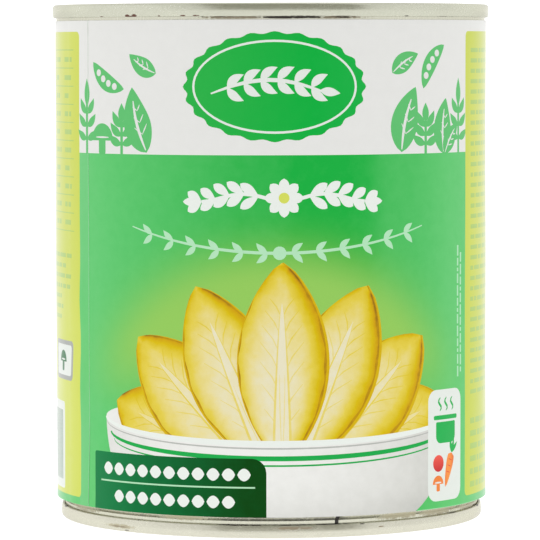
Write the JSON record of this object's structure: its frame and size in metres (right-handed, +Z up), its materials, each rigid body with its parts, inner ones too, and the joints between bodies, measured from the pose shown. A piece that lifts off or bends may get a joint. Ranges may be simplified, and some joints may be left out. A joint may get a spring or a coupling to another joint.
{
  "type": "food can",
  "caption": "Sealed round food can: welded tinplate body with a stacking foot, two double-seamed ends, wrap-round green and white paper label, whole vegetables inside.",
  "frame": {"origin": "centre of the base, on the plane that the bottom seam stands on", "axes": "+Z up along the can's axis, -Y towards the front of the label, +X to the right of someone facing the label"},
  "size_m": [0.1008, 0.1008, 0.118],
  "materials": {
    "tinplate": "satin",
    "seam_compound": "matte",
    "printed_paper": "satin",
    "chicory": "satin",
    "brine": "gloss"
  },
  "bodies": {
    "root": {"can_body": "tinplate", "top_end": "tinplate", "bottom_end": "tinplate", "top_sealing_ring": "seam_compound", "bottom_sealing_ring": "seam_compound", "paper_label": "printed_paper", "brine": "brine", "endive_head_1": "chicory", "endive_head_2": "chicory", "endive_head_3": "chicory", "endive_head_4": "chicory", "endive_head_5": "chicory"}
  },
  "joints": []
}
